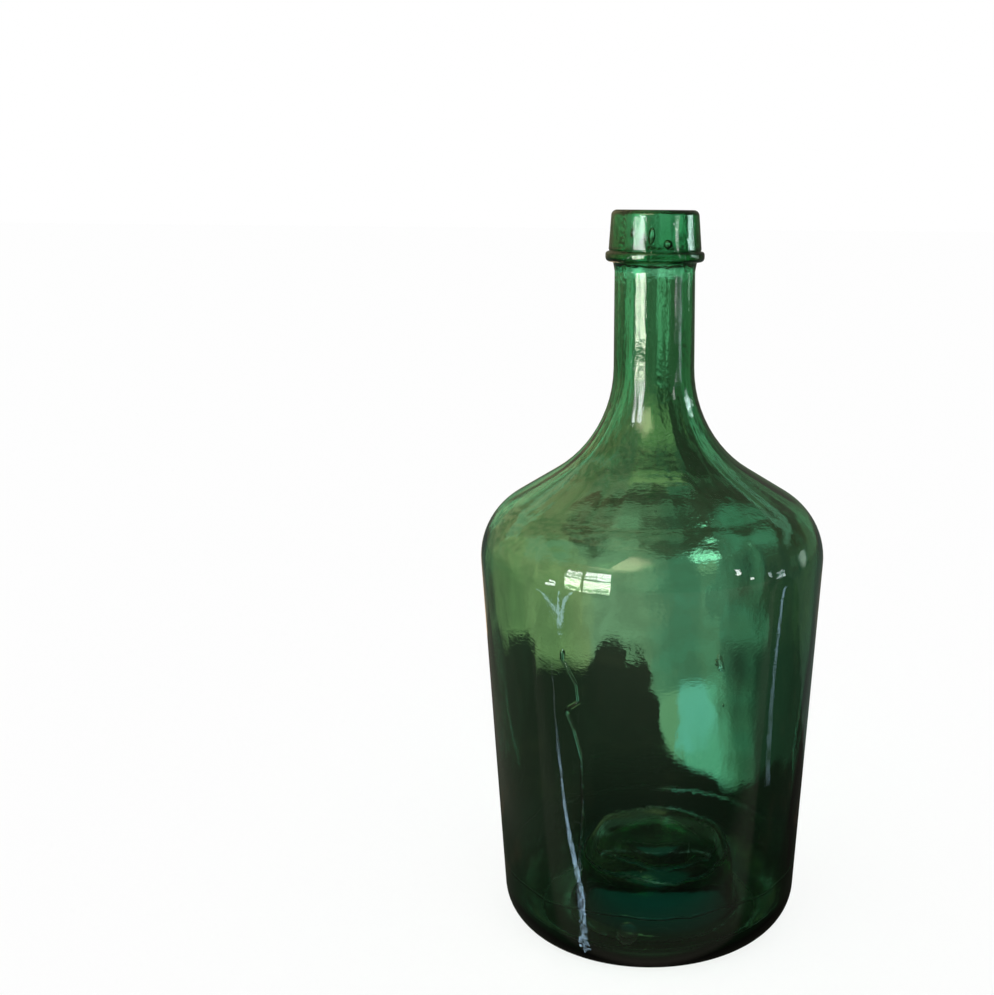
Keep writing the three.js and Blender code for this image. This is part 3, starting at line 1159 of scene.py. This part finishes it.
# %% What the panes show
WINDOW_FAR = 1.2
WINDOW_BARS = [(0.075, 0.020), (0.364, 0.026), (0.470, 0.018)]  # height and half of the thickness
UPRIGHT_BARS = 0.055  # from one to the next
PANE_WHITE = (1, 1, 1, 1)
PANE_TINTED = (0.86, 0.97, 0.76, 1)
PANE_LEAVES = (0.07, 0.19, 0.05, 1)
BAR_COLOUR = (0.10, 0.16, 0.10, 1)


def window_colours(graph):
    """Sky through leaves, white with yellow-green patches, behind glazing bars."""
    where = graph.node("TexCoord", output="Object")
    x, _, height = graph.axes(where)
    leaves = graph.noise(where, 22, 4, (1, 1, 2.2)) * 0.6 + graph.noise(where, 90, 3, (1, 1, 0.6)) * 0.4
    leaves = leaves + height.step(0.34, 0.28) * height.step(0.14, 0.18) * 0.04
    leaves = leaves - height.step(0.17, 0.14) * 0.035
    bright = mix(graph, height.step(0.30, 0.38), PANE_TINTED, PANE_WHITE)
    pane = mix(graph, leaves.step(0.44, 0.49), PANE_LEAVES, bright)
    upright = graph.node("Math", {"operation": "FRACT"}, [x / UPRIGHT_BARS])
    bars = upright.step(0.30, 0.18) * x.step(-0.76, -0.80) * height.step(0.36, 0.38)
    for middle, reach in WINDOW_BARS:
        bars = bars.larger((height - middle).size().step(reach, reach * 0.7))
    return mix(graph, bars * 0.9, pane, BAR_COLOUR)


def broken_colours(graph):
    """Sky in shreds between leaves."""
    where = graph.node("TexCoord", output="Object")
    shreds = graph.noise(where, 34, 4, (1, 1, 0.7)).step(0.44, 0.56)
    return mix(graph, shreds, (0.02, 0.10, 0.06, 1), (0.80, 0.95, 1, 1))


def soft_colours(graph):
    """Sky through a curtain, fading to all sides."""
    where = graph.node("TexCoord", output="Object")
    _, y, z = graph.axes(where)
    return mix(graph, spot(y, z, (0.488, 0.27), (0.125, 0.23)), (0.02, 0.05, 0.04, 1), (0.75, 1, 0.85, 1))


# %% Stand them round the bottle
def light_card(name, side, far, low, high, width, material):
    """An upright card, so many degrees to the right of the camera's side, that only mirrors show."""
    bpy.ops.object.select_all(action="DESELECT")
    turn = math.radians(side)
    place = (far * math.sin(turn), -far * math.cos(turn), (low + high) / 2)
    bpy.ops.mesh.primitive_plane_add(size=1, location=place, rotation=(math.pi / 2, 0, turn))
    card = bpy.context.object
    card.scale = (width, high - low, 1)
    stand(card, name, material, seen_through=False)


window_light = glowing("window_light", window_colours, 23)
white_light = glowing("white_light", (0.95, 1, 1, 1), 16)
right_light = glowing("right_light", broken_colours, 8)
broken_light = glowing("broken_light", broken_colours, 20)
dim_light = glowing("dim_light", soft_colours, 2.0)
flag_cloth = glowing("flag_cloth", (0.13, 0.13, 0.09, 1))
CARDS = [  # name, degrees to the right, how far off, lowest and highest, width, and what it shows
    ("window_top_left", -50, WINDOW_FAR, 0.37, 0.57, 0.22, window_light),
    ("window_top_right", -34, WINDOW_FAR, 0.39, 0.60, 0.36, window_light),
    ("window_low_left", -50, WINDOW_FAR, 0.02, 0.35, 0.22, window_light),
    ("window_low_right", -34, WINDOW_FAR, 0.0, 0.37, 0.36, window_light),
    ("small_window", -66, WINDOW_FAR, 0.04, 0.10, 0.16, white_light),
    ("small_window_top", -64, WINDOW_FAR, 0.13, 0.18, 0.10, white_light),
    ("window_above_left", -49, 0.25, 0.362, 0.430, 0.030, white_light),
    ("window_above_right", -33, 0.25, 0.352, 0.440, 0.045, white_light),
    ("right_window", 88, WINDOW_FAR, 0.10, 0.245, 0.13, right_light),
    ("right_window_neck", 79, WINDOW_FAR, 0.19, 0.32, 0.07, right_light),
    ("right_window_far", 114, WINDOW_FAR, 0.42, 0.50, 0.12, right_light),
    ("right_lamp", 65, WINDOW_FAR, 0.26, 0.30, 0.05, white_light),
    ("back_window", 114, WINDOW_FAR, 0.06, 0.54, 0.26, dim_light),
    ("neck_light", 101, WINDOW_FAR, 0.38, 0.66, 0.36, broken_light),
    ("right_flag", 104, 0.30, 0.250, 0.326, 0.26, flag_cloth),
    ("right_window_lip", 57, WINDOW_FAR, 0.43, 0.60, 0.07, white_light),
]
for card in CARDS:
    light_card(*card)

# %% [markdown]
# ### A flag
# Two of the window cards stand near the neck, and the shoulder would mirror them as well. A
# photographer holds a dark plate, a flag, between a light and what it shouldn't reach. This one
# lies level between those cards and the shoulder.


# %% Lay the flag
def flag(name, side, near, far, height, width):
    """A level plate, so many degrees to the right of the camera's side, from near to far."""
    turn = math.radians(side)
    middle = (near + far) / 2
    bpy.ops.object.select_all(action="DESELECT")
    place = (middle * math.sin(turn), -middle * math.cos(turn), height)
    bpy.ops.mesh.primitive_plane_add(size=1, location=place, rotation=(0, 0, turn))
    bpy.context.object.scale = (width, far - near, 1)
    stand(bpy.context.object, name, flag_cloth, seen_through=False)


flag("left_flag", side=-40, near=0.125, far=0.235, height=0.304, width=0.14)

# %% [markdown]
# ### Bright strips
# The side of the bottle mirrors the table as long thin lines, because a steep round wall squeezes
# what it mirrors from side to side. The lines could be painted on the glass, but then they would
# stay put when the camera moves. So ribbons lie on the table, each drawn with the same pen as the
# section. The long ones and the foot are frayed by noise, and the three corner ones glow evenly.

# %% Where the strips lie
LEFT_STRIP = [
    (-0.045, -0.082), (-0.085, -0.118), (-0.115, -0.127), (-0.155, -0.134), (-0.205, -0.144),
    (-0.28, -0.160), (-0.41, -0.197),
]
LEFT_FOOT = [(-0.038, -0.080), (-0.060, -0.099), (-0.098, -0.122)]
RIGHT_STRIP = [(0.25, -0.050), (0.40, -0.049), (0.48, -0.038), (0.62, -0.004), (0.80, 0.03)]
CORNER_NEAR = [(-0.445, -0.295), (-0.60, -0.235), (-0.76, -0.19)]
CORNER_MIDDLE = [(-0.455, -0.27), (-0.62, -0.375), (-0.80, -0.50)]
CORNER_FAR = [(-0.445, -0.295), (-0.62, -0.50), (-0.82, -0.73)]
STRIP_LIGHT = (0.50, 0.76, 1, 1)
print("left strip from", LEFT_STRIP[0], "to", LEFT_STRIP[-1])


# %% Draw the strips
def left_line_colours(graph):
    """Frayed, and fading towards its far end."""
    where = graph.node("TexCoord", output="Object")
    x, _, _ = graph.axes(where)
    frayed = graph.noise(where, 280, 3, (0.8, 1, 1)).step(0.43, 0.57)
    share = frayed * (x.step(-0.34, -0.15) * 0.93 + 0.07)
    return mix(graph, share, (0.03, 0.03, 0.02, 1), STRIP_LIGHT)


def right_line_colours(graph):
    """The same, fading towards its near end."""
    where = graph.node("TexCoord", output="Object")
    x, _, _ = graph.axes(where)
    frayed = graph.noise(where, 120, 4, (0.3, 1, 1)).step(0.36, 0.60)
    share = frayed * (x.step(0.28, 0.66) * 0.8 + 0.2)
    return mix(graph, share, (0.03, 0.04, 0.03, 1), STRIP_LIGHT)


def strip(name, places, width, material):
    """A ribbon on the table: a pen pulled from place to place, then the line pulled sideways."""
    ribbon = start_pen(name, (*places[0], 0))
    for place, following in zip(places, places[1:]):
        pull = Vector((*following, 0)) - Vector((*place, 0))
        bpy.ops.mesh.extrude_region_move(TRANSFORM_OT_translate={"value": pull})
    bpy.ops.mesh.select_all(action="SELECT")
    bpy.ops.mesh.extrude_region_move(TRANSFORM_OT_translate={"value": (0, width, 0)})
    bpy.ops.object.mode_set(mode="OBJECT")
    stand(ribbon, name, material, seen_through=False)


left_line_light = glowing("left_line_light", left_line_colours, 11)
foot_light = glowing("foot_light", left_line_colours, 5)
right_line_light = glowing("right_line_light", right_line_colours, 4.5)
corner_light = glowing("corner_light", (0.55, 0.80, 1, 1), 6)
STRIPS = [  # name, where it runs, width, and what it shows
    ("left_strip", LEFT_STRIP, 0.008, left_line_light),
    ("left_foot", LEFT_FOOT, 0.010, foot_light),
    ("right_strip", RIGHT_STRIP, 0.022, right_line_light),
    ("left_corner_near", CORNER_NEAR, 0.018, corner_light),
    ("left_corner_far", CORNER_FAR, 0.034, corner_light),
    ("left_corner_middle", CORNER_MIDDLE, 0.018, corner_light),
]
for ribbon in STRIPS:
    strip(*ribbon)
